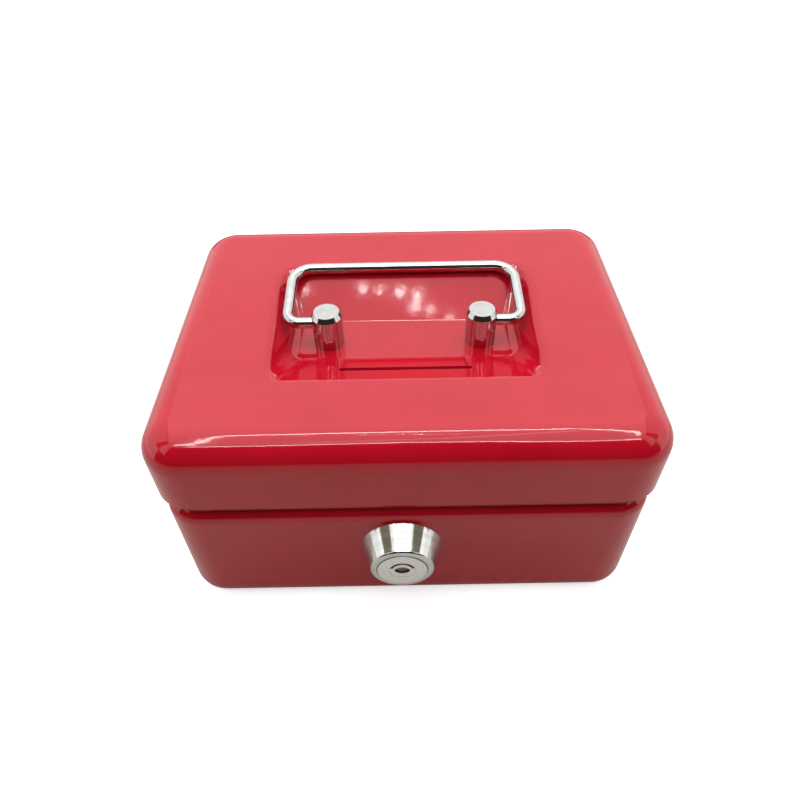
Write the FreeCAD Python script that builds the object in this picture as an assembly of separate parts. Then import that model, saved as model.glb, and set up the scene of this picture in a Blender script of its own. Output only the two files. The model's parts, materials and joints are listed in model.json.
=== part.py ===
import FreeCAD, Part
import math
import os

# A pressed-steel cash box: a hinged lid with a coin slot and a folding bail handle in a recess, a cam lock
# with a curved keyhole on the front, and a coin tray inside. Millimetres. +X is to the right seen from the
# front, +Y to the rear and +Z up. The origin is the centre of the base.

V = FreeCAD.Vector
ORIGIN = V(0, 0, 0)
X_AXIS = V(1, 0, 0)
Y_AXIS = V(0, 1, 0)
Z_AXIS = V(0, 0, 1)

# Box
LID_WIDTH = 153.0
LID_DEPTH = 118.0
BOX_HEIGHT = 80.0
SHEET = 0.8
LID_HEIGHT = 24.5
LID_CORNER_RADIUS = 12.8
LID_TOP_RADIUS = 9.4
BODY_INSET = 0.9
BASE_RADIUS = 9.0
SEAM_GAP = 4.5
SHOULDER_RADIUS = 5.0
NECK_INSET = 2.2
NECK_RISE = 12.0

# Recess in the lid: sloping front and rear, steep sides that close in towards the front
RECESS_REAR_WIDTH = 88.0
RECESS_FRONT_WIDTH = 84.0
RECESS_LENGTH = 60.0
RECESS_DEPTH = 10.0
RECESS_SIDE_RUN = 5.0
RECESS_FLOOR_LENGTH = 19.0
RECESS_Y = -1.0
RECESS_CORNER_RADIUS = 6.0
RECESS_FLOOR_RADIUS = 4.0
RECESS_RIM_RADIUS = 4.0

# Coin slot, in the middle of the recess's front slope
SLOT_LENGTH = 42.0
SLOT_WIDTH = 3.0

# Handle
POST_INSET = 15.5
POST_RADIUS = 5.1
POST_HEIGHT = 12.6
POST_CHAMFER = 0.9
POST_CHAMFER_HEIGHT = 1.6
PIVOT_HEIGHT = 8.1
WIRE_RADIUS = 1.9
BAIL_SIDE_ROOM = 2.0
BAIL_REACH = 27.3
BAIL_FOOT_BEND = 4.5
BAIL_CORNER_BEND = 7.0
BAIL_END_DEPTH = 7.0
BAIL_END_ROOM = 0.5
PIVOT_CLEARANCE = 0.06
BAIL_REST_GAP = 0.3
POST_SCREW_RADIUS = 2.0
POST_SCREW_REACH = 4.6
POST_SCREW_ROOM = 0.4
SCREW_HEAD_RADIUS = 3.8
SCREW_HEAD_HEIGHT = 2.2
SCREW_RECESS_WIDTH = 1.0
SCREW_RECESS_LENGTH = 4.4
SCREW_RECESS_DEPTH = 1.2
POST_WASHER_RADIUS = 4.5
POST_WASHER_THICKNESS = 0.8
SCREW_HOLE_CLEARANCE = 0.2
THREAD_CLEARANCE = 0.05

# Hinge
HINGE_LENGTH = 70.0
KNUCKLE_COUNT = 5
KNUCKLE_GAP = 0.4
HINGE_PIN_RADIUS = 1.0
HINGE_PIN_OVERHANG = 0.6
HINGE_PIN_CLEARANCE = 0.05
LEAF = 0.8
HINGE_GAP = 0.4
HINGE_DROP = 2.3
LOWER_FLANGE_HEIGHT = 7.0
UPPER_FLANGE_HEIGHT = 12.0

# Lock, set out along its axis from the front of the bezel
LOCK_X = -2.1
LOCK_DROP = 19.0
BEZEL_HEIGHT = 8.4
BEZEL_BASE_RADIUS = 13.0
BEZEL_FRONT_RADIUS = 9.8
BEZEL_EDGE_RADIUS = 0.9
HEAD_PROUD = 0.2
HEAD_LENGTH = 4.4
HEAD_RADIUS = 7.8
HEAD_CLEARANCE = 0.25
BARREL_RADIUS = 6.5
BARREL_HALF_FLATS = 5.9
BARREL_LENGTH = 18.2
BARREL_CLEARANCE = 0.1
KEYWAY_RADIUS = 4.1
KEYWAY_DEPTH = 6.2
KEYHOLE_ANGLE = 142.0
KEYHOLE_WIDTH = 0.9
KEYHOLE_PLATE = 1.6
HOLLOW_WIDTH = 5.0
HOLLOW_HEIGHT = 3.6
HOLLOW_DEPTH = 0.6
SPINDLE_POST_RADIUS = 2.7
SPINDLE_FLANGE_RADIUS = 4.9
SPINDLE_FLANGE_LENGTH = 3.9
SPINDLE_SHAFT_RADIUS = 2.2
TAIL_HALF_FLATS = 1.6
TAIL_THREAD_RADIUS = 1.9
RUNNING_CLEARANCE = 0.08
AXIAL_CLEARANCE = 0.1
PIN_COUNT = 3
PIN_STEP_ANGLE = 46.0
PIN_SIDE_GAP = 0.08
PIN_CLEARANCE = 0.05
KEY_PIN_SET_BACK = 2.2
DRIVER_LENGTH = 3.2
SPRING_LENGTH = 6.8
SPRING_WIRE = 0.2
CROSS_PIN_RADIUS = 0.5
STOP_RISE = 1.0
STOP_TAB_ANGLE = 30.0
LOCK_TURN = 90.0
STOP_SLACK_ANGLE = 3.0
STOP_WASHER_THICKNESS = 1.2
STOP_WASHER_CLEARANCE = 0.3
LOCK_WASHER_THICKNESS = 0.5
LOCK_WASHER_RADIUS = 9.0
LOCK_NUT_THICKNESS = 3.0
LOCK_NUT_FLATS = 17.0
CAM_THICKNESS = 1.5
CAM_HUB_RADIUS = 5.5
CAM_WIDTH = 8.0
CAM_LENGTH = 17.0
CAM_WASHER_THICKNESS = 0.8
CAM_WASHER_RADIUS = 3.8
CAM_NUT_FLATS = 7.0
CAM_NUT_THICKNESS = 2.6
TAIL_OVERHANG = 0.7

# Lid catch: a strap from the lid's front skirt whose lower tab lies under the turned cam
CATCH = 1.2
CATCH_WIDTH = 11.0
CATCH_SIDE_GAP = 1.0
CATCH_STRAP_GAP = 4.5
CATCH_FLANGE_ROOM = 0.4
CATCH_NECK_GAP = 2.4
CATCH_TAB_GAP = 0.6
CATCH_TAB_OVERLAP = 1.0

# Coin tray and its rests
TRAY_GAP = 1.6
TRAY_HEIGHT = 18.0
TRAY_HEADROOM = 10.2
TRAY_WALL = 1.6
TRAY_NOTCH_WIDTH = 48.0
TRAY_NOTCH_ROOM = 1.8
TRAY_DIVIDER_Y = -4.0
REAR_POCKETS = 3
POCKET_CORNER_RADIUS = 3.0
POCKET_FLOOR_RADIUS = 1.2
FINGER_RADIUS = 9.0
FINGER_Y = 24.0
REST_LENGTH = 56.0
REST_WIDTH = 8.0
REST_HEIGHT = 10.0
REST_SHEET = 1.0

# Sizes that follow
LID_EDGE_Z = BOX_HEIGHT - LID_HEIGHT
BODY_WIDTH = LID_WIDTH - 2 * BODY_INSET
BODY_DEPTH = LID_DEPTH - 2 * BODY_INSET
BODY_CORNER_RADIUS = LID_CORNER_RADIUS - BODY_INSET
NECK_WIDTH = BODY_WIDTH - 2 * NECK_INSET
NECK_DEPTH = BODY_DEPTH - 2 * NECK_INSET
NECK_CORNER_RADIUS = BODY_CORNER_RADIUS - NECK_INSET
LEDGE_Z = LID_EDGE_Z - SEAM_GAP
NECK_TOP_Z = LEDGE_Z + NECK_RISE
FLOOR_Z = BOX_HEIGHT - RECESS_DEPTH
UNDERSIDE_Z = FLOOR_Z - SHEET
PIVOT_Z = FLOOR_Z + PIVOT_HEIGHT
SLOPE_RUN = (RECESS_LENGTH - RECESS_FLOOR_LENGTH) / 2
SLOPE_ANGLE = math.degrees(math.atan2(RECESS_DEPTH, SLOPE_RUN))
BAIL_WIDTH = (RECESS_REAR_WIDTH + RECESS_FRONT_WIDTH) / 2 - 2 * BAIL_SIDE_ROOM
POST_SPACING = BAIL_WIDTH - 2 * POST_INSET
KNUCKLE_RADIUS = HINGE_PIN_RADIUS + HINGE_PIN_CLEARANCE + LEAF
HINGE_Y = LID_DEPTH / 2 - SHEET + KNUCKLE_RADIUS + HINGE_GAP
HINGE_FOOT_Z = LID_EDGE_Z - HINGE_DROP
HINGE_Z = HINGE_FOOT_Z + KNUCKLE_RADIUS
LOCK_Z = LEDGE_Z - LOCK_DROP
FACE_Y = -BODY_DEPTH / 2 - BEZEL_HEIGHT
HEAD_START = -HEAD_PROUD
BARREL_START = HEAD_START + HEAD_LENGTH
BARREL_END = BARREL_START + BARREL_LENGTH
WALL_INSIDE = BEZEL_HEIGHT + SHEET
FLANGE_START = HEAD_START + KEYWAY_DEPTH + AXIAL_CLEARANCE
SHEAR_LINE = FLANGE_START + SPINDLE_FLANGE_LENGTH
SLEEVE_START = SHEAR_LINE + AXIAL_CLEARANCE
BORE_RADIUS = SPINDLE_FLANGE_RADIUS + RUNNING_CLEARANCE
CHAMBER_END = SLEEVE_START + DRIVER_LENGTH + SPRING_LENGTH
PIN_CIRCLE = (KEYWAY_RADIUS + SPINDLE_POST_RADIUS) / 2
PIN_RADIUS = (KEYWAY_RADIUS - SPINDLE_POST_RADIUS) / 2 - PIN_SIDE_GAP
STOP_WASHER_START = BARREL_END + AXIAL_CLEARANCE
CAM_START = STOP_WASHER_START + STOP_WASHER_THICKNESS
CAM_END = CAM_START + CAM_THICKNESS
CAM_NUT_START = CAM_END + CAM_WASHER_THICKNESS
TAIL_END = CAM_NUT_START + CAM_NUT_THICKNESS + TAIL_OVERHANG
CATCH_STRAP_Y = -NECK_DEPTH / 2 + SHEET + CATCH_STRAP_GAP
TRAY_WIDTH = NECK_WIDTH - 2 * SHEET - 2 * TRAY_GAP
TRAY_DEPTH = NECK_DEPTH - 2 * SHEET - 2 * TRAY_GAP
TRAY_CORNER_RADIUS = NECK_CORNER_RADIUS - SHEET - TRAY_GAP
SCREW_SEAT_Z = UNDERSIDE_Z - POST_WASHER_THICKNESS
SCREW_FOOT_Z = SCREW_SEAT_Z - SCREW_HEAD_HEIGHT
TRAY_TOP_Z = SCREW_FOOT_Z - TRAY_HEADROOM
TRAY_FLOOR_Z = TRAY_TOP_Z - TRAY_HEIGHT
TRAY_NOTCH_Y = FACE_Y + TAIL_END + TRAY_NOTCH_ROOM

# How far the bail stands above level when its bar lies on the recess's rear slope
PIVOT_ABOVE_SLOPE = (PIVOT_HEIGHT * math.cos(math.radians(SLOPE_ANGLE))
                     + RECESS_FLOOR_LENGTH / 2 * math.sin(math.radians(SLOPE_ANGLE)))
BAIL_REST_ANGLE = SLOPE_ANGLE - math.degrees(
    math.asin((PIVOT_ABOVE_SLOPE - WIRE_RADIUS - BAIL_REST_GAP) / BAIL_REACH))


def box(x0, x1, y0, y1, z0, z1):
    return Part.makeBox(x1 - x0, y1 - y0, z1 - z0, V(x0, y0, z0))


def edges_at(shape, z):
    """The shape's edges that lie in the level plane at height z."""
    return [e for e in shape.Edges
            if abs(e.BoundBox.ZMin - z) < 1e-4 and abs(e.BoundBox.ZMax - z) < 1e-4]


def upright_edges(shape):
    return [e for e in shape.Edges if abs(e.tangentAt(e.FirstParameter).z) > 0.999]


def rounded_block(x0, x1, y0, y1, z0, z1, radius):
    block = box(x0, x1, y0, y1, z0, z1)
    return block.makeFillet(radius, upright_edges(block))


def rounded_prism(width, depth, radius, z0, z1):
    return rounded_block(-width / 2, width / 2, -depth / 2, depth / 2, z0, z1, radius)


def save(name, *solids):
    shape = solids[0] if len(solids) == 1 else Part.makeCompound(list(solids))
    shape.exportStep("parts/" + name + ".step")


# Body

def body_form(inward, base_z, top_z):
    """The outside of the body for inward = 0, or its inside for inward = SHEET."""
    ledge = LEDGE_Z - inward
    lower = rounded_prism(BODY_WIDTH - 2 * inward, BODY_DEPTH - 2 * inward,
                          BODY_CORNER_RADIUS - inward, base_z, ledge)
    lower = lower.makeFillet(BASE_RADIUS - inward, edges_at(lower, base_z))
    lower = lower.makeFillet(SHOULDER_RADIUS - inward, edges_at(lower, ledge))
    neck = rounded_prism(NECK_WIDTH - 2 * inward, NECK_DEPTH - 2 * inward,
                         NECK_CORNER_RADIUS - inward, ledge - SHOULDER_RADIUS, top_z)
    return lower.fuse(neck).removeSplitter()


def body_shell():
    shell = body_form(0, 0, NECK_TOP_Z).cut(body_form(SHEET, SHEET, NECK_TOP_Z + SHEET))
    barrel = lock_flatted(BARREL_RADIUS + BARREL_CLEARANCE, BARREL_HALF_FLATS + BARREL_CLEARANCE,
                          BARREL_START, BARREL_END)
    return shell.cut(barrel)


# Lid

def recess_form(outward):
    """The recess as a solid, grown by outward, from its floor to above the lid's top."""
    side_slope = RECESS_SIDE_RUN / RECESS_DEPTH
    end_slope = SLOPE_RUN / RECESS_DEPTH
    taper = (RECESS_REAR_WIDTH - RECESS_FRONT_WIDTH) / 2 / RECESS_LENGTH
    middle = (RECESS_REAR_WIDTH + RECESS_FRONT_WIDTH) / 4 - RECESS_SIDE_RUN
    side_shift = outward * math.sqrt(1 + side_slope ** 2 + taper ** 2)
    end_shift = outward * math.sqrt(1 + end_slope ** 2)

    def ring(z):
        rise = z - FLOOR_Z
        half_length = RECESS_FLOOR_LENGTH / 2 + end_slope * rise + end_shift
        half_width = middle + side_slope * rise + side_shift
        front = half_width - taper * half_length
        rear = half_width + taper * half_length
        corners = [V(-front, RECESS_Y - half_length, z), V(front, RECESS_Y - half_length, z),
                   V(rear, RECESS_Y + half_length, z), V(-rear, RECESS_Y + half_length, z)]
        return Part.makePolygon(corners + corners[:1])

    base = FLOOR_Z - outward
    form = Part.makeLoft([ring(base), ring(BOX_HEIGHT + RECESS_RIM_RADIUS)], True, True)
    corners = [e for e in form.Edges if e.BoundBox.ZLength > RECESS_DEPTH / 2]
    form = form.makeFillet(RECESS_CORNER_RADIUS + outward, corners)
    return form.makeFillet(RECESS_FLOOR_RADIUS + outward, edges_at(form, base))


def lid_form(inward, base_z):
    """The outside of the lid for inward = 0, or its inside for inward = SHEET."""
    top = BOX_HEIGHT - inward
    form = rounded_prism(LID_WIDTH - 2 * inward, LID_DEPTH - 2 * inward,
                         LID_CORNER_RADIUS - inward, base_z, top)
    form = form.makeFillet(LID_TOP_RADIUS - inward, edges_at(form, top))
    form = form.cut(recess_form(inward))
    top_face = next(f for f in form.Faces if abs(f.BoundBox.ZMin - top) < 1e-4)
    rim = [e for w in top_face.Wires if not w.isSame(top_face.OuterWire) for e in w.Edges]
    return form.makeFillet(RECESS_RIM_RADIUS - inward, rim)


def coin_slot():
    half_straight = (SLOT_LENGTH - SLOT_WIDTH) / 2
    half_depth = RECESS_DEPTH / 2
    slot = box(-half_straight, half_straight, -SLOT_WIDTH / 2, SLOT_WIDTH / 2, -half_depth, half_depth)
    for x in (-half_straight, half_straight):
        slot = slot.fuse(Part.makeCylinder(SLOT_WIDTH / 2, 2 * half_depth, V(x, 0, -half_depth)))
    slot.rotate(ORIGIN, X_AXIS, -SLOPE_ANGLE)
    middle_y = RECESS_Y - RECESS_FLOOR_LENGTH / 2 - SLOPE_RUN / 2
    slot.translate(V(0, middle_y, FLOOR_Z + half_depth))
    return slot


def lid_shell():
    shell = lid_form(0, LID_EDGE_Z).cut(lid_form(SHEET, LID_EDGE_Z - SHEET))
    shell = shell.cut(coin_slot())
    for side in (-1, 1):
        shell = shell.cut(Part.makeCylinder(POST_SCREW_RADIUS + SCREW_HOLE_CLEARANCE, RECESS_DEPTH,
                                            V(side * POST_SPACING / 2, RECESS_Y, UNDERSIDE_Z - SHEET)))
    half_notch = HINGE_LENGTH / 2 + HINGE_PIN_OVERHANG + HINGE_GAP
    notch_top = HINGE_Z + KNUCKLE_RADIUS + HINGE_GAP
    return shell.cut(box(-half_notch, half_notch, NECK_DEPTH / 2, LID_DEPTH, LID_EDGE_Z - SHEET, notch_top))


# Handle

def handle_post(side):
    x = side * POST_SPACING / 2
    straight = POST_HEIGHT - POST_CHAMFER_HEIGHT
    post = Part.makeCylinder(POST_RADIUS, straight, V(x, RECESS_Y, FLOOR_Z))
    post = post.fuse(Part.makeCone(POST_RADIUS, POST_RADIUS - POST_CHAMFER, POST_CHAMFER_HEIGHT,
                                   V(x, RECESS_Y, FLOOR_Z + straight)))
    socket_end = x + side * (POST_RADIUS - BAIL_END_DEPTH - BAIL_END_ROOM)
    socket = Part.makeCylinder(WIRE_RADIUS + PIVOT_CLEARANCE, POST_RADIUS + BAIL_END_DEPTH,
                               V(socket_end, RECESS_Y, PIVOT_Z), V(side, 0, 0))
    thread = Part.makeCylinder(POST_SCREW_RADIUS + THREAD_CLEARANCE, POST_SCREW_REACH + POST_SCREW_ROOM,
                               V(x, RECESS_Y, FLOOR_Z))
    return post.cut(socket).cut(thread)


def post_screw(side):
    x = side * POST_SPACING / 2
    head = Part.makeCylinder(SCREW_HEAD_RADIUS, SCREW_HEAD_HEIGHT, V(x, RECESS_Y, SCREW_FOOT_Z))
    head = head.makeFillet(SCREW_HEAD_HEIGHT / 2, edges_at(head, SCREW_FOOT_Z))
    shank = Part.makeCylinder(POST_SCREW_RADIUS, FLOOR_Z + POST_SCREW_REACH - SCREW_SEAT_Z,
                              V(x, RECESS_Y, SCREW_SEAT_Z))
    screw = head.fuse(shank)
    for half_x, half_y in ((SCREW_RECESS_LENGTH / 2, SCREW_RECESS_WIDTH / 2),
                           (SCREW_RECESS_WIDTH / 2, SCREW_RECESS_LENGTH / 2)):
        screw = screw.cut(box(x - half_x, x + half_x, RECESS_Y - half_y, RECESS_Y + half_y,
                              SCREW_FOOT_Z - SCREW_RECESS_DEPTH, SCREW_FOOT_Z + SCREW_RECESS_DEPTH))
    return screw


def post_washer(side):
    foot = V(side * POST_SPACING / 2, RECESS_Y, SCREW_SEAT_Z)
    washer = Part.makeCylinder(POST_WASHER_RADIUS, POST_WASHER_THICKNESS, foot)
    hole = Part.makeCylinder(POST_SCREW_RADIUS + SCREW_HOLE_CLEARANCE, POST_WASHER_THICKNESS, foot)
    return washer.cut(hole)


def handle_bail():
    arm_x = BAIL_WIDTH / 2 - WIRE_RADIUS
    end_x = POST_SPACING / 2 + POST_RADIUS - BAIL_END_DEPTH
    foot = BAIL_FOOT_BEND
    bend = BAIL_CORNER_BEND
    half = 1 - math.sqrt(0.5)

    def point(x, y):
        return V(x, RECESS_Y + y, PIVOT_Z)

    def side_edges(side):
        return [
            Part.makeLine(point(side * end_x, 0), point(side * (arm_x - foot), 0)),
            Part.Arc(point(side * (arm_x - foot), 0), point(side * (arm_x - foot * half), foot * half),
                     point(side * arm_x, foot)).toShape(),
            Part.makeLine(point(side * arm_x, foot), point(side * arm_x, BAIL_REACH - bend)),
            Part.Arc(point(side * arm_x, BAIL_REACH - bend),
                     point(side * (arm_x - bend * half), BAIL_REACH - bend * half),
                     point(side * (arm_x - bend), BAIL_REACH)).toShape(),
        ]

    bar = Part.makeLine(point(-(arm_x - bend), BAIL_REACH), point(arm_x - bend, BAIL_REACH))
    path = Part.Wire(Part.__sortEdges__(side_edges(-1) + [bar] + side_edges(1)))
    start = path.OrderedVertexes[0].Point
    profile = Part.Wire(Part.makeCircle(WIRE_RADIUS, start, X_AXIS))
    bail = path.makePipeShell([profile], True, True)
    bail.rotate(point(0, 0), X_AXIS, BAIL_REST_ANGLE)
    return bail


# Hinge

def knuckle_spans(first):
    """The X spans of every second knuckle, starting from the first or the second."""
    pitch = HINGE_LENGTH / KNUCKLE_COUNT
    starts = [-HINGE_LENGTH / 2 + i * pitch for i in range(first, KNUCKLE_COUNT, 2)]
    return [(start + KNUCKLE_GAP / 2, start + pitch - KNUCKLE_GAP / 2) for start in starts]


def hinge_rod(radius, x0, x1):
    return Part.makeCylinder(radius, x1 - x0, V(x0, HINGE_Y, HINGE_Z), X_AXIS)


def hinge_leaf(flange, strap_y, strap_z, spans):
    """A flat flange with, at each knuckle, a strap below it that runs out to the rolled barrel."""
    leaf = flange
    for x0, x1 in spans:
        leaf = leaf.fuse(box(x0, x1, strap_y, HINGE_Y, strap_z, strap_z + LEAF))
        leaf = leaf.fuse(box(x0, x1, strap_y, strap_y + LEAF, strap_z, strap_z + KNUCKLE_RADIUS))
        leaf = leaf.fuse(hinge_rod(KNUCKLE_RADIUS, x0, x1))
    bore = hinge_rod(HINGE_PIN_RADIUS + HINGE_PIN_CLEARANCE, -HINGE_LENGTH, HINGE_LENGTH)
    return leaf.cut(bore).removeSplitter()


def hinge_leaf_lower():
    y = NECK_DEPTH / 2
    flange = box(-HINGE_LENGTH / 2, HINGE_LENGTH / 2, y, y + LEAF,
                 HINGE_FOOT_Z, HINGE_FOOT_Z + LOWER_FLANGE_HEIGHT)
    return hinge_leaf(flange, y, HINGE_FOOT_Z, knuckle_spans(0))


def hinge_leaf_upper():
    y = LID_DEPTH / 2 - SHEET - LEAF
    foot = HINGE_FOOT_Z + LEAF + HINGE_GAP
    flange = box(-HINGE_LENGTH / 2, HINGE_LENGTH / 2, y, y + LEAF, foot, foot + UPPER_FLANGE_HEIGHT)
    return hinge_leaf(flange, y, HINGE_FOOT_Z + HINGE_GAP, knuckle_spans(1))


def hinge_pin():
    half = HINGE_LENGTH / 2 + HINGE_PIN_OVERHANG
    return hinge_rod(HINGE_PIN_RADIUS, -half, half)


# Lock: every place along its axis is a distance behind the front of the bezel

def lock_disc(radius, start, end):
    return Part.makeCylinder(radius, end - start, V(LOCK_X, FACE_Y + start, LOCK_Z), Y_AXIS)


def lock_ring(outer, inner, start, end):
    return lock_disc(outer, start, end).cut(lock_disc(inner, start, end))


def lock_flatted(radius, half_flats, start, end):
    """A round bar with a flat on its left and its right."""
    slab = box(LOCK_X - half_flats, LOCK_X + half_flats, FACE_Y + start, FACE_Y + end,
               LOCK_Z - radius, LOCK_Z + radius)
    return lock_disc(radius, start, end).common(slab)


def lock_sector(radius, angle, sweep, start, end):
    """A wedge of a disc, with its angles from +X towards +Z."""
    wedge = Part.makeCylinder(radius, end - start, ORIGIN, Z_AXIS, sweep)
    wedge.rotate(ORIGIN, Z_AXIS, angle)
    wedge.rotate(ORIGIN, X_AXIS, 90)
    wedge.translate(V(LOCK_X, FACE_Y + end, LOCK_Z))
    return wedge


def lock_hexagon(flats, start, end):
    radius = flats / math.sqrt(3)
    corners = [V(LOCK_X + radius * math.cos(math.radians(60 * i)), FACE_Y + start,
                 LOCK_Z + radius * math.sin(math.radians(60 * i))) for i in range(7)]
    return Part.Face(Part.makePolygon(corners)).extrude(V(0, end - start, 0))


def pin_rods(radius, start, end):
    """One rod for each pin, on the pin circle behind the keyhole."""
    rods = []
    for i in range(PIN_COUNT):
        turn = math.radians(90 + PIN_STEP_ANGLE * (i - (PIN_COUNT - 1) / 2))
        foot = V(LOCK_X + PIN_CIRCLE * math.cos(turn), FACE_Y + start, LOCK_Z + PIN_CIRCLE * math.sin(turn))
        rods.append(Part.makeCylinder(radius, end - start, foot, Y_AXIS))
    return rods


def cross_pin(clearance):
    inner = SPINDLE_SHAFT_RADIUS + CROSS_PIN_RADIUS
    station = FACE_Y + (CHAMBER_END + BARREL_END) / 2
    return Part.makeCylinder(CROSS_PIN_RADIUS + clearance, BARREL_RADIUS - inner,
                             V(LOCK_X, station, LOCK_Z + inner), Z_AXIS)


def lock_bezel():
    bezel = Part.makeCone(BEZEL_FRONT_RADIUS, BEZEL_BASE_RADIUS, BEZEL_HEIGHT,
                          V(LOCK_X, FACE_Y, LOCK_Z), Y_AXIS)
    front = [e for e in bezel.Edges if abs(e.BoundBox.YMax - FACE_Y) < 1e-4]
    bezel = bezel.makeFillet(BEZEL_EDGE_RADIUS, front)
    bezel = bezel.cut(lock_disc(HEAD_RADIUS + HEAD_CLEARANCE, 0, BARREL_START))
    return bezel.cut(lock_disc(BARREL_RADIUS + BARREL_CLEARANCE, 0, BEZEL_HEIGHT))


def lock_cylinder():
    cylinder = lock_disc(HEAD_RADIUS, HEAD_START, BARREL_START)
    cylinder = cylinder.fuse(lock_flatted(BARREL_RADIUS, BARREL_HALF_FLATS, BARREL_START, BARREL_END))
    tab_room = STOP_TAB_ANGLE / 2 + STOP_SLACK_ANGLE
    stop = lock_sector(BARREL_HALF_FLATS, 270 + tab_room, 360 - LOCK_TURN - 2 * tab_room, BARREL_END,
                       BARREL_END + STOP_RISE)
    cylinder = cylinder.fuse(stop)
    cylinder = cylinder.cut(lock_disc(KEYWAY_RADIUS, HEAD_START, BARREL_END))
    cylinder = cylinder.cut(lock_disc(BORE_RADIUS, FLANGE_START - AXIAL_CLEARANCE, BARREL_END + STOP_RISE))
    return cylinder.cut(cross_pin(PIN_CLEARANCE))


def tumbler_sleeve():
    sleeve = lock_ring(BORE_RADIUS - PIN_CLEARANCE, SPINDLE_SHAFT_RADIUS + RUNNING_CLEARANCE,
                       SLEEVE_START, BARREL_END)
    for chamber in pin_rods(PIN_RADIUS + PIN_CLEARANCE, SLEEVE_START, CHAMBER_END):
        sleeve = sleeve.cut(chamber)
    return sleeve.cut(cross_pin(PIN_CLEARANCE))


def driver_springs():
    springs = []
    outers = pin_rods(PIN_RADIUS, SLEEVE_START + DRIVER_LENGTH, CHAMBER_END)
    inners = pin_rods(PIN_RADIUS - SPRING_WIRE, SLEEVE_START + DRIVER_LENGTH, CHAMBER_END)
    for outer, inner in zip(outers, inners):
        springs.append(outer.cut(inner))
    return springs


def keyhole_plate():
    """The spindle's front disc, which turns in the keyway and leaves a curved keyhole at its top."""
    end = HEAD_START + KEYHOLE_PLATE
    plate = lock_disc(KEYWAY_RADIUS - RUNNING_CLEARANCE, HEAD_START, end)
    keyhole = lock_sector(KEYWAY_RADIUS, 90 - KEYHOLE_ANGLE / 2, KEYHOLE_ANGLE, HEAD_START, end)
    return plate.cut(keyhole.cut(lock_disc(KEYWAY_RADIUS - KEYHOLE_WIDTH, HEAD_START, end)))


def front_hollow():
    """A shallow eye-shaped hollow, where two round cuts overlap."""
    radius = (HOLLOW_WIDTH ** 2 + HOLLOW_HEIGHT ** 2) / (4 * HOLLOW_HEIGHT)
    rise = radius - HOLLOW_HEIGHT / 2
    front = FACE_Y + HEAD_START
    lower = Part.makeCylinder(radius, HOLLOW_DEPTH, V(LOCK_X, front, LOCK_Z - rise), Y_AXIS)
    upper = Part.makeCylinder(radius, HOLLOW_DEPTH, V(LOCK_X, front, LOCK_Z + rise), Y_AXIS)
    return lower.common(upper)


def lock_spindle():
    spindle = lock_disc(SPINDLE_POST_RADIUS, HEAD_START, SHEAR_LINE)
    spindle = spindle.fuse(keyhole_plate()).cut(front_hollow())
    spindle = spindle.fuse(lock_disc(SPINDLE_FLANGE_RADIUS, FLANGE_START, SHEAR_LINE))
    spindle = spindle.fuse(lock_disc(SPINDLE_SHAFT_RADIUS, SHEAR_LINE, STOP_WASHER_START))
    spindle = spindle.fuse(lock_flatted(SPINDLE_SHAFT_RADIUS, TAIL_HALF_FLATS, STOP_WASHER_START, CAM_END))
    thread = lock_disc(TAIL_THREAD_RADIUS, CAM_END, TAIL_END)
    spindle = spindle.fuse(thread)
    for hole in pin_rods(PIN_RADIUS + PIN_CLEARANCE, FLANGE_START, SHEAR_LINE):
        spindle = spindle.cut(hole)
    return spindle


def tail_hole(start, end):
    return lock_flatted(SPINDLE_SHAFT_RADIUS + PIN_CLEARANCE, TAIL_HALF_FLATS + PIN_CLEARANCE, start, end)


def stop_washer():
    """The disc that turns inside the cylinder's stop, with the tab that meets its two ends."""
    inside = BORE_RADIUS - STOP_WASHER_CLEARANCE
    tab = lock_sector(BARREL_HALF_FLATS, 270 - STOP_TAB_ANGLE / 2, STOP_TAB_ANGLE,
                      STOP_WASHER_START, CAM_START)
    washer = lock_disc(inside, STOP_WASHER_START, CAM_START).fuse(tab)
    return washer.cut(tail_hole(STOP_WASHER_START, CAM_START))


def lock_cam():
    """The cam, with its arm up as it is when the lock is open."""
    tip = LOCK_Z + CAM_LENGTH - CAM_WIDTH / 2
    arm = box(LOCK_X - CAM_WIDTH / 2, LOCK_X + CAM_WIDTH / 2, FACE_Y + CAM_START, FACE_Y + CAM_END,
              LOCK_Z, tip)
    end = Part.makeCylinder(CAM_WIDTH / 2, CAM_THICKNESS, V(LOCK_X, FACE_Y + CAM_START, tip), Y_AXIS)
    cam = lock_disc(CAM_HUB_RADIUS, CAM_START, CAM_END).fuse(arm).fuse(end)
    return cam.cut(tail_hole(CAM_START, CAM_END)).removeSplitter()


def lock_nut():
    start = WALL_INSIDE + LOCK_WASHER_THICKNESS
    end = start + LOCK_NUT_THICKNESS
    bore = lock_disc(BARREL_RADIUS + THREAD_CLEARANCE, start, end)
    return lock_hexagon(LOCK_NUT_FLATS, start, end).cut(bore)


def cam_nut():
    end = CAM_NUT_START + CAM_NUT_THICKNESS
    bore = lock_disc(TAIL_THREAD_RADIUS + THREAD_CLEARANCE, CAM_NUT_START, end)
    return lock_hexagon(CAM_NUT_FLATS, CAM_NUT_START, end).cut(bore)


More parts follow.
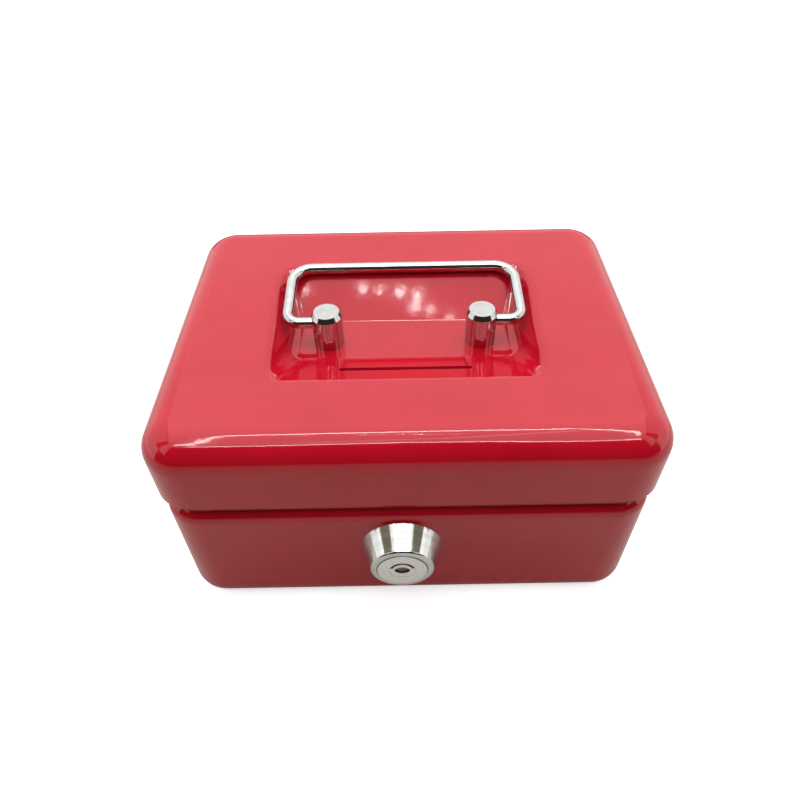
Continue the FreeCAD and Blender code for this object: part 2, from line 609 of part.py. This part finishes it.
def lid_catch():
    x0 = LOCK_X + BARREL_RADIUS + CATCH_SIDE_GAP
    x1 = x0 + CATCH_WIDTH
    skirt_y = -LID_DEPTH / 2 + SHEET
    shelf_z = NECK_TOP_Z + CATCH_NECK_GAP
    tab_top = LOCK_Z - CAM_WIDTH / 2 - CATCH_TAB_GAP
    tab_y = FACE_Y + CAM_END + CATCH_TAB_OVERLAP
    flange_top = BOX_HEIGHT - LID_TOP_RADIUS - CATCH_FLANGE_ROOM
    flange = box(x0, x1, skirt_y, skirt_y + CATCH, shelf_z, flange_top)
    shelf = box(x0, x1, skirt_y, CATCH_STRAP_Y + CATCH, shelf_z, shelf_z + CATCH)
    strap = box(x0, x1, CATCH_STRAP_Y, CATCH_STRAP_Y + CATCH, tab_top - CATCH, shelf_z + CATCH)
    tab = box(x0, x1, CATCH_STRAP_Y, tab_y, tab_top - CATCH, tab_top)
    return flange.fuse([shelf, strap, tab]).removeSplitter()


# Coin tray

def pocket(x0, x1, y0, y1):
    base = TRAY_FLOOR_Z + TRAY_WALL
    form = rounded_block(x0, x1, y0, y1, base, TRAY_TOP_Z + TRAY_WALL, POCKET_CORNER_RADIUS)
    return form.makeFillet(POCKET_FLOOR_RADIUS, edges_at(form, base))


def tray_pockets():
    """Three pockets before the cross wall, the middle one behind the lock's notch, and a row behind it."""
    half_x = TRAY_WIDTH / 2 - TRAY_WALL
    half_y = TRAY_DEPTH / 2 - TRAY_WALL
    notch_left = LOCK_X - TRAY_NOTCH_WIDTH / 2
    notch_right = LOCK_X + TRAY_NOTCH_WIDTH / 2
    front_end = TRAY_DIVIDER_Y - TRAY_WALL / 2
    spans = [(-half_x, notch_left - TRAY_WALL, -half_y, front_end),
             (notch_left, notch_right, TRAY_NOTCH_Y + TRAY_WALL, front_end),
             (notch_right + TRAY_WALL, half_x, -half_y, front_end)]
    pitch = (2 * half_x + TRAY_WALL) / REAR_POCKETS
    for i in range(REAR_POCKETS):
        left = -half_x + i * pitch
        spans.append((left, left + pitch - TRAY_WALL, TRAY_DIVIDER_Y + TRAY_WALL / 2, half_y))
    return [pocket(*span) for span in spans]


def coin_tray():
    tray = rounded_prism(TRAY_WIDTH, TRAY_DEPTH, TRAY_CORNER_RADIUS, TRAY_FLOOR_Z, TRAY_TOP_Z)
    tray = tray.cut(box(LOCK_X - TRAY_NOTCH_WIDTH / 2, LOCK_X + TRAY_NOTCH_WIDTH / 2,
                        -TRAY_DEPTH, TRAY_NOTCH_Y, TRAY_FLOOR_Z, TRAY_TOP_Z))
    for form in tray_pockets():
        tray = tray.cut(form)
    for x in (-TRAY_WIDTH / 2, TRAY_WIDTH / 2):
        tray = tray.cut(Part.makeCylinder(FINGER_RADIUS, 4 * TRAY_WALL,
                                          V(x - 2 * TRAY_WALL, FINGER_Y, TRAY_TOP_Z), X_AXIS))
    return tray


def tray_rest(side):
    """An angle on the body's side wall that the tray stands on."""
    wall = BODY_WIDTH / 2 - SHEET
    inner = wall - REST_WIDTH
    upright = box(wall - REST_SHEET, wall, -REST_LENGTH / 2, REST_LENGTH / 2,
                  TRAY_FLOOR_Z - REST_HEIGHT, TRAY_FLOOR_Z)
    shelf = box(inner, wall, -REST_LENGTH / 2, REST_LENGTH / 2, TRAY_FLOOR_Z - REST_SHEET, TRAY_FLOOR_Z)
    rest = upright.fuse(shelf).removeSplitter()
    return rest if side > 0 else rest.mirror(ORIGIN, X_AXIS)


os.makedirs("parts", exist_ok=True)
save("body_shell", body_shell())
save("lid_shell", lid_shell())
save("handle_post_left", handle_post(-1))
save("handle_post_right", handle_post(1))
save("post_screws", post_screw(-1), post_screw(1))
save("post_washers", post_washer(-1), post_washer(1))
save("handle_bail", handle_bail())
save("hinge_leaf_lower", hinge_leaf_lower())
save("hinge_leaf_upper", hinge_leaf_upper())
save("hinge_pin", hinge_pin())
save("lock_bezel", lock_bezel())
save("lock_cylinder", lock_cylinder())
save("lock_washer", lock_ring(LOCK_WASHER_RADIUS, BARREL_RADIUS + BARREL_CLEARANCE, WALL_INSIDE,
                              WALL_INSIDE + LOCK_WASHER_THICKNESS))
save("lock_nut", lock_nut())
save("tumbler_sleeve", tumbler_sleeve())
save("driver_pins", *pin_rods(PIN_RADIUS, SLEEVE_START, SLEEVE_START + DRIVER_LENGTH))
save("driver_springs", *driver_springs())
save("sleeve_cross_pin", cross_pin(0))
save("lock_spindle", lock_spindle())
save("key_pins", *pin_rods(PIN_RADIUS, HEAD_START + KEY_PIN_SET_BACK, SHEAR_LINE))
save("stop_washer", stop_washer())
save("lock_cam", lock_cam())
save("cam_washer", lock_ring(CAM_WASHER_RADIUS, TAIL_THREAD_RADIUS + SCREW_HOLE_CLEARANCE, CAM_END,
                             CAM_NUT_START))
save("cam_nut", cam_nut())
save("lid_catch", lid_catch())
save("coin_tray", coin_tray())
save("tray_rest_left", tray_rest(-1))
save("tray_rest_right", tray_rest(1))
print("bail rest angle", round(BAIL_REST_ANGLE, 3))
print("bail swing", round(180 - 2 * BAIL_REST_ANGLE, 3))
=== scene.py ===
import json
import math

import bpy
from mathutils import Matrix, Vector


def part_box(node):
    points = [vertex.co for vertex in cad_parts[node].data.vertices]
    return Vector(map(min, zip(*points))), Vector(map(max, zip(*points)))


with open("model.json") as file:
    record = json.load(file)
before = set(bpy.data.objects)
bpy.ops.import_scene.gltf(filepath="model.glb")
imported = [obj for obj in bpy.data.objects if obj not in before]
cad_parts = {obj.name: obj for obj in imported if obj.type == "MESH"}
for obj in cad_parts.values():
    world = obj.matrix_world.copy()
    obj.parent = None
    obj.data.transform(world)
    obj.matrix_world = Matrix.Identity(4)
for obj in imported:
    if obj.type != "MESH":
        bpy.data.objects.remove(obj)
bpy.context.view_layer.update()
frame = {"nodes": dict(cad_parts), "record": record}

nodes = frame["nodes"]
scene = bpy.context.scene
scene.view_settings.view_transform = "Standard"

# Camera, where the photograph was taken from
FRAME_PIXELS = 800
SENSOR_MM = 36.0
FOCAL_PIXELS = 640.13
CAMERA_PLACE = (-0.00155, -0.16882, 0.21084)
CAMERA_PITCH = math.radians(45.365)
CAMERA_YAW = math.radians(-0.134)
CAMERA_ROLL = math.radians(-1.121)
CLIP_START = 0.01
CLIP_END = 30.0


def add_camera():
    data = bpy.data.cameras.new("camera")
    data.sensor_width = SENSOR_MM
    data.lens = FOCAL_PIXELS / FRAME_PIXELS * SENSOR_MM
    data.clip_start = CLIP_START
    data.clip_end = CLIP_END
    camera = bpy.data.objects.new("camera", data)
    scene.collection.objects.link(camera)
    ahead = Vector((math.sin(CAMERA_YAW) * math.cos(CAMERA_PITCH),
                    math.cos(CAMERA_YAW) * math.cos(CAMERA_PITCH), -math.sin(CAMERA_PITCH)))
    level = Vector((math.cos(CAMERA_YAW), -math.sin(CAMERA_YAW), 0.0))
    upright = level.cross(ahead)
    right = level * math.cos(CAMERA_ROLL) + upright * math.sin(CAMERA_ROLL)
    up = upright * math.cos(CAMERA_ROLL) - level * math.sin(CAMERA_ROLL)
    turn = Matrix((right, up, -ahead)).transposed().to_4x4()
    camera.matrix_world = Matrix.Translation(CAMERA_PLACE) @ turn
    scene.camera = camera


# Materials
NOISE_RANGE = (0.3, 0.7)
SHADE_STOPS = (0.35, 0.65)


def material(name, **sockets):
    made = bpy.data.materials.new(name)
    made.use_nodes = True
    shader = made.node_tree.nodes["Principled BSDF"]
    for socket, value in sockets.items():
        shader.inputs[socket.replace("_", " ")].default_value = value
    return made, shader


def node(made, kind, **values):
    new = made.node_tree.nodes.new(kind)
    for key, value in values.items():
        if key in new.inputs:
            new.inputs[key].default_value = value
        else:
            setattr(new, key, value)
    return new


def link(made, source, target):
    made.node_tree.links.new(source, target)


def place(made):
    """The place on the piece in metres, which moves with it."""
    return node(made, "ShaderNodeTexCoord").outputs["Object"]


def noise(made, per_metre, detail=2.0, stretch=None):
    spot = place(made)
    if stretch:
        bend = node(made, "ShaderNodeMapping")
        bend.inputs["Scale"].default_value = stretch
        link(made, spot, bend.inputs["Vector"])
        spot = bend.outputs["Vector"]
    new = node(made, "ShaderNodeTexNoise", Scale=per_metre, Detail=detail)
    link(made, spot, new.inputs["Vector"])
    return new.outputs["Fac"]


def spread(made, source, low, high):
    """A noise's middle range drawn out between two values."""
    new = node(made, "ShaderNodeMapRange")
    new.inputs["From Min"].default_value = NOISE_RANGE[0]
    new.inputs["From Max"].default_value = NOISE_RANGE[1]
    new.inputs["To Min"].default_value = low
    new.inputs["To Max"].default_value = high
    link(made, source, new.inputs["Value"])
    return new.outputs["Result"]


def shades(made, source, first, second):
    """A noise turned into a blend of two colours."""
    new = node(made, "ShaderNodeValToRGB")
    for stop, at, colour in zip(new.color_ramp.elements, SHADE_STOPS, (first, second)):
        stop.position = at
        stop.color = (*colour, 1.0)
    link(made, source, new.inputs["Fac"])
    return new.outputs["Color"]


def bump(made, shader, source, depth, socket="Normal"):
    new = node(made, "ShaderNodeBump", Strength=1.0, Distance=depth)
    link(made, source, new.inputs["Height"])
    link(made, new.outputs["Normal"], shader.inputs[socket])


# The painted shade in the hollow in the lock's front: its reach from the middle, and the depth where the
# hollow's wall starts
HOLLOW_REACH = 0.00268
HOLLOW_LIP = 0.00005
# Stretches a noise into lines around the lock's axis, which is the y axis
TURNED = (0.05, 1.0, 0.05)
NICKEL = ((0.77, 0.79, 0.78), (0.86, 0.88, 0.87))


def red_paint():
    made, shader = material("red_paint", Roughness=0.3, Coat_Weight=1.0, Coat_Roughness=0.065, Coat_IOR=1.5)
    shader.inputs["Specular IOR Level"].default_value = 0.0
    colour = shades(made, noise(made, 60.0, 3.0), (0.452, 0.0036, 0.0155), (0.482, 0.0048, 0.0185))
    link(made, colour, shader.inputs["Base Color"])
    link(made, spread(made, noise(made, 900.0), 0.25, 0.4), shader.inputs["Roughness"])
    bump(made, shader, noise(made, 420.0, 1.0), 0.000009, "Coat Normal")
    return made


def chrome():
    made, shader = material("chrome", Metallic=1.0)
    colour = shades(made, noise(made, 500.0), (0.50, 0.51, 0.50), (0.56, 0.565, 0.555))
    link(made, colour, shader.inputs["Base Color"])
    link(made, spread(made, noise(made, 2400.0, 3.0), 0.04, 0.11), shader.inputs["Roughness"])
    bump(made, shader, noise(made, 300.0, 2.0), 0.000012)
    return made


def turned_chrome():
    made, shader = material("turned_chrome", Metallic=1.0)
    tone = noise(made, 900.0, 2.0, (0.1, 1.0, 0.1))
    colour = shades(made, tone, (0.56, 0.565, 0.55), (0.66, 0.665, 0.65))
    link(made, colour, shader.inputs["Base Color"])
    link(made, spread(made, noise(made, 2600.0, 2.0, TURNED), 0.05, 0.13), shader.inputs["Roughness"])
    bump(made, shader, noise(made, 3600.0, 2.0, TURNED), 0.000003)
    return made


def satin_nickel():
    made, shader = material("satin_nickel", Metallic=1.0)
    colour = shades(made, noise(made, 1500.0, 3.0), *NICKEL)
    link(made, colour, shader.inputs["Base Color"])
    link(made, spread(made, noise(made, 5000.0, 2.0), 0.26, 0.4), shader.inputs["Roughness"])
    bump(made, shader, noise(made, 9000.0, 2.0), 0.000006)
    return made


def lock_post():
    """Satin nickel with painted brown shade at the bottom of the hollow in its front."""
    made, shader = material("lock_post", Metallic=1.0)
    low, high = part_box("lock_spindle")
    front = ((low[0] + high[0]) / 2, low[1], (low[2] + high[2]) / 2)
    inward = node(made, "ShaderNodeVectorMath", operation="SUBTRACT")
    inward.inputs[1].default_value = front
    link(made, place(made), inward.inputs[0])
    radius = node(made, "ShaderNodeVectorMath", operation="LENGTH")
    link(made, inward.outputs["Vector"], radius.inputs[0])
    near = node(made, "ShaderNodeMath", operation="LESS_THAN")
    near.inputs[1].default_value = HOLLOW_REACH
    link(made, radius.outputs["Value"], near.inputs[0])
    split = node(made, "ShaderNodeSeparateXYZ")
    link(made, inward.outputs["Vector"], split.inputs["Vector"])
    sunk = node(made, "ShaderNodeMath", operation="GREATER_THAN")
    sunk.inputs[1].default_value = HOLLOW_LIP
    link(made, split.outputs["Y"], sunk.inputs[0])
    painted_shade_mask = node(made, "ShaderNodeMath", operation="MULTIPLY")
    link(made, near.outputs["Value"], painted_shade_mask.inputs[0])
    link(made, sunk.outputs["Value"], painted_shade_mask.inputs[1])
    # Painted shade: brown colour standing in for the shade inside the hollow
    hollow_painted_shade = shades(made, noise(made, 2400.0, 3.0), (0.10, 0.06, 0.045), (0.34, 0.24, 0.19))
    plated = shades(made, noise(made, 1500.0, 3.0), *NICKEL)
    choice = node(made, "ShaderNodeMix", data_type="RGBA")
    link(made, painted_shade_mask.outputs["Value"], choice.inputs["Factor"])
    link(made, plated, choice.inputs["A"])
    link(made, hollow_painted_shade, choice.inputs["B"])
    link(made, choice.outputs["Result"], shader.inputs["Base Color"])
    link(made, spread(made, noise(made, 5000.0, 2.0), 0.28, 0.42), shader.inputs["Roughness"])
    bump(made, shader, noise(made, 7000.0, 2.0), 0.000008)
    return made


def zinc_steel():
    made, shader = material("zinc_steel", Metallic=1.0)
    colour = shades(made, noise(made, 700.0, 4.0), (0.50, 0.51, 0.53), (0.66, 0.66, 0.65))
    link(made, colour, shader.inputs["Base Color"])
    link(made, spread(made, noise(made, 1800.0, 4.0), 0.28, 0.48), shader.inputs["Roughness"])
    bump(made, shader, noise(made, 2500.0, 3.0), 0.00001)
    return made


def brass():
    made, shader = material("brass", Metallic=1.0)
    colour = shades(made, noise(made, 1200.0, 3.0), (0.55, 0.36, 0.13), (0.72, 0.50, 0.20))
    link(made, colour, shader.inputs["Base Color"])
    link(made, spread(made, noise(made, 3000.0), 0.2, 0.38), shader.inputs["Roughness"])
    bump(made, shader, noise(made, 4000.0, 2.0), 0.000008)
    return made


def black_plastic():
    made, shader = material("black_plastic")
    colour = shades(made, noise(made, 250.0, 3.0), (0.012, 0.012, 0.013), (0.022, 0.022, 0.023))
    link(made, colour, shader.inputs["Base Color"])
    link(made, spread(made, noise(made, 1500.0), 0.38, 0.55), shader.inputs["Roughness"])
    bump(made, shader, noise(made, 2600.0, 1.0), 0.00004)
    return made


FINISHES = {"red_paint": red_paint(), "chrome": chrome(), "satin_nickel": satin_nickel(),
            "zinc_steel": zinc_steel(), "brass": brass(), "black_plastic": black_plastic()}
TURNED_CHROME = turned_chrome()
LOCK_POST = lock_post()


def dress(name, finish):
    slots = nodes[name].material_slots
    for slot in slots:
        slot.material = finish
    if not slots:
        nodes[name].data.materials.append(finish)


for part in frame["record"]["subparts"]:
    dress(part["node"], FINISHES[part["material_slot"]])
dress("lock_bezel", TURNED_CHROME)
dress("lock_spindle", LOCK_POST)


# Studio
FLOOR_SIZE = 6.0
FLOOR_SINK = 0.0001
FLOOR_ROUGHNESS = 0.9
FLOOR_CLOUDS = 4.0
FLOOR_LIGHT = ((0.52, 0.51, 0.475), (0.55, 0.54, 0.505))
FLOOR_SEEN = ((0.76, 0.76, 0.76), (0.80, 0.80, 0.80))
FLOOR_GLOW = 0.65
WATTS_PER_RADIANCE = 4.0


def pale_for_camera(tree, seen, unseen):
    """Joins two shaders: the first for what the camera sees directly, the second for the light it gives."""
    path = tree.nodes.new("ShaderNodeLightPath")
    choice = tree.nodes.new("ShaderNodeMixShader")
    tree.links.new(path.outputs["Is Camera Ray"], choice.inputs["Fac"])
    tree.links.new(unseen, choice.inputs[1])
    tree.links.new(seen, choice.inputs[2])
    return choice.outputs["Shader"]


def matt(made, shader, tones):
    """Makes a shader a dull cloudy surface of two tones."""
    shader.inputs["Roughness"].default_value = FLOOR_ROUGHNESS
    shader.inputs["Specular IOR Level"].default_value = 0.0
    link(made, shades(made, noise(made, FLOOR_CLOUDS), *tones), shader.inputs["Base Color"])


def floor():
    mesh = bpy.data.meshes.new("floor")
    corners = [(-FLOOR_SIZE, -FLOOR_SIZE, -FLOOR_SINK), (FLOOR_SIZE, -FLOOR_SIZE, -FLOOR_SINK),
               (FLOOR_SIZE, FLOOR_SIZE, -FLOOR_SINK), (-FLOOR_SIZE, FLOOR_SIZE, -FLOOR_SINK)]
    mesh.from_pydata(corners, [], [(0, 1, 2, 3)])
    made, shader = material("floor")
    matt(made, shader, FLOOR_LIGHT)
    pale = node(made, "ShaderNodeBsdfPrincipled")
    matt(made, pale, FLOOR_SEEN)
    pale.inputs["Emission Color"].default_value = (1.0, 1.0, 1.0, 1.0)
    pale.inputs["Emission Strength"].default_value = FLOOR_GLOW
    joined = pale_for_camera(made.node_tree, pale.outputs["BSDF"], shader.outputs["BSDF"])
    link(made, joined, made.node_tree.nodes["Material Output"].inputs["Surface"])
    mesh.materials.append(made)
    made_floor = bpy.data.objects.new("floor", mesh)
    scene.collection.objects.link(made_floor)


def panel(name, centre, facing, width, height, radiance):
    """A soft light panel that faces a point."""
    data = bpy.data.lights.new(name, "AREA")
    data.shape = "RECTANGLE"
    data.size = width
    data.size_y = height
    data.energy = radiance * WATTS_PER_RADIANCE * width * height
    lamp = bpy.data.objects.new(name, data)
    lamp.location = centre
    lamp.rotation_euler = (Vector(facing) - Vector(centre)).to_track_quat("-Z", "Y").to_euler()
    lamp.visible_camera = False
    scene.collection.objects.link(lamp)
    return lamp


# Strip lamps under the ceiling, as places in plan
LAMP_HEIGHT = 0.98
FRONT_STRIP = [(-0.40, -0.48), (-0.31, -0.50), (-0.225, -0.489), (-0.15, -0.47), (0.0, -0.43), (0.08, -0.45),
               (0.17, -0.47), (0.26, -0.54), (0.32, -0.555), (0.41, -0.54), (0.44, -0.46)]
MIDDLE_STRIP = [(-0.19, -0.36), (-0.06, -0.28), (0.08, -0.22), (0.225, -0.02), (0.30, 0.10)]
REAR_STRIP = [(-0.304, 0.143), (-0.245, 0.167), (-0.177, 0.173), (-0.108, 0.191), (-0.039, 0.197),
              (0.03, 0.21), (0.10, 0.222), (0.17, 0.215), (0.238, 0.20), (0.30, 0.219)]
LEFT_STRIP = [(-0.385, -0.36), (-0.346, -0.24), (-0.324, 0.007), (-0.31, 0.12)]
RIGHT_STRIP = [(0.31, 0.19), (0.337, 0.131), (0.367, 0.049), (0.385, -0.017), (0.40, -0.134), (0.42, -0.28)]
# Small lamps: x, y, size, radiance
SMALL_LAMPS = [(-0.385, -0.35, 0.034, 30.0), (-0.165, 0.061, 0.008, 30.0), (-0.066, 0.062, 0.008, 50.0),
               (-0.035, 0.059, 0.007, 50.0), (0.0, 0.054, 0.008, 60.0), (0.031, 0.048, 0.009, 60.0),
               (0.026, 0.029, 0.014, 20.0), (0.052, 0.022, 0.011, 18.0), (0.087, 0.007, 0.010, 18.0)]
# The room: half its width, its ceiling and the bands of its rear wall from the foot up
ROOM_HALF = 0.6
ROOM_DARK = (0.035, 0.032, 0.025, 1.0)
CEILING = 1.0
REAR_PLACE = 0.80
REAR_FOOT = 0.13
REAR_BAND = 0.145
REAR_BANDS = (0.92, 0.94, 0.97, 1.05, 1.18, 1.32)
# Ceiling panels over the room's whole width: name, y, depth, radiance
CEILINGS = [("rear_ceiling", 0.46, 0.68, 1.45), ("middle_ceiling", 0.0, 0.24, 1.3)]
FRONT_EDGE = -0.12
FRONT_CEILING_RADIANCE = 1.3
END_CEILING_PLACE = -0.31
END_CEILING_DEPTH = 0.38
END_CEILING_RADIANCE = 0.9
# Panels on both sides: name, x, y, z, the height it faces, width, height, radiance, colour
WHITE = (1.0, 1.0, 1.0)
OLIVE = (1.0, 0.92, 0.66)
SIDE_PANELS = [("side_panel", 0.6, 0.36, 0.49, 0.49, 0.88, 0.96, 0.95, WHITE),
               ("low_panel", 0.6, -0.17, 0.195, 0.195, 0.18, 0.37, 1.0, WHITE),
               ("corner_panel", 0.6, -0.385, 0.685, 0.685, 0.29, 0.57, 0.9, WHITE),
               ("dim_panel", 0.68, -0.25, 0.72, 0.40, 0.5, 0.85, 0.15, OLIVE)]
STRIP_WIDTH = 0.034
END_WIDTH = 0.013
FRONT_RADIANCE = 12.0
MIDDLE_RADIANCE = 1.6
REAR_RADIANCE = 19.0


def ceiling_panel(name, middle, width, depth, radiance, height=CEILING):
    return panel(name, (*middle, height), (*middle, 0.0), width, depth, radiance)


def strip(name, points, radiance, width=STRIP_WIDTH):
    """A row of bright strip lamps under the ceiling, end to end along the points."""
    for i, (start, end) in enumerate(zip(points, points[1:])):
        run = Vector(end) - Vector(start)
        middle = (Vector(start) + Vector(end)) / 2
        lamp = ceiling_panel(name + str(i), middle, run.length, width, radiance, LAMP_HEIGHT)
        lamp.rotation_euler = (0.0, 0.0, math.atan2(run.y, run.x))


def backdrop():
    """A dark room around the panels, which the camera sees as a pale backdrop."""
    world = bpy.data.worlds.new("studio")
    world.use_nodes = True
    tree = world.node_tree
    dark = tree.nodes["Background"]
    dark.inputs["Color"].default_value = ROOM_DARK
    pale = tree.nodes.new("ShaderNodeBackground")
    pale.inputs["Color"].default_value = (1.0, 1.0, 1.0, 1.0)
    choice = pale_for_camera(tree, pale.outputs["Background"], dark.outputs["Background"])
    tree.links.new(choice, tree.nodes["World Output"].inputs["Surface"])
    scene.world = world


def studio():
    floor()
    backdrop()
    for i, radiance in enumerate(REAR_BANDS):
        height = REAR_FOOT + (i + 0.5) * REAR_BAND
        panel("rear_band" + str(i), (0.0, REAR_PLACE, height), (0.0, 0.0, height), 2 * ROOM_HALF, REAR_BAND,
              radiance)
    for name, y, depth, radiance in CEILINGS:
        ceiling_panel(name, (0.0, y), 2 * ROOM_HALF, depth, radiance)
    for i, (start, end) in enumerate(zip(FRONT_STRIP, FRONT_STRIP[1:])):
        front = (start[1] + end[1]) / 2
        centre = ((start[0] + end[0]) / 2, (front + FRONT_EDGE) / 2)
        ceiling_panel("front_ceiling" + str(i), centre, end[0] - start[0], FRONT_EDGE - front,
                      FRONT_CEILING_RADIANCE)
    for side in (-1, 1):
        for name, x, y, z, aim, width, height, radiance, colour in SIDE_PANELS:
            lamp = panel(name + str(side), (x * side, y, z), (0.0, y, aim), width, height, radiance)
            lamp.data.color = colour
    for side, start in ((-1, FRONT_STRIP[0][0]), (1, FRONT_STRIP[-1][0])):
        middle = ((start + ROOM_HALF * side) / 2, END_CEILING_PLACE)
        ceiling_panel("ceiling_end" + str(side), middle, ROOM_HALF - start * side, END_CEILING_DEPTH,
                      END_CEILING_RADIANCE)
    strip("front_strip", FRONT_STRIP, FRONT_RADIANCE)
    strip("middle_strip", MIDDLE_STRIP, MIDDLE_RADIANCE)
    strip("rear_strip", REAR_STRIP, REAR_RADIANCE)
    strip("left_strip", LEFT_STRIP, REAR_RADIANCE, END_WIDTH)
    strip("right_strip", RIGHT_STRIP, REAR_RADIANCE, END_WIDTH)
    for i, (x, y, size, radiance) in enumerate(SMALL_LAMPS):
        ceiling_panel("small_lamp" + str(i), (x, y), size, size, radiance, LAMP_HEIGHT)


add_camera()
studio()
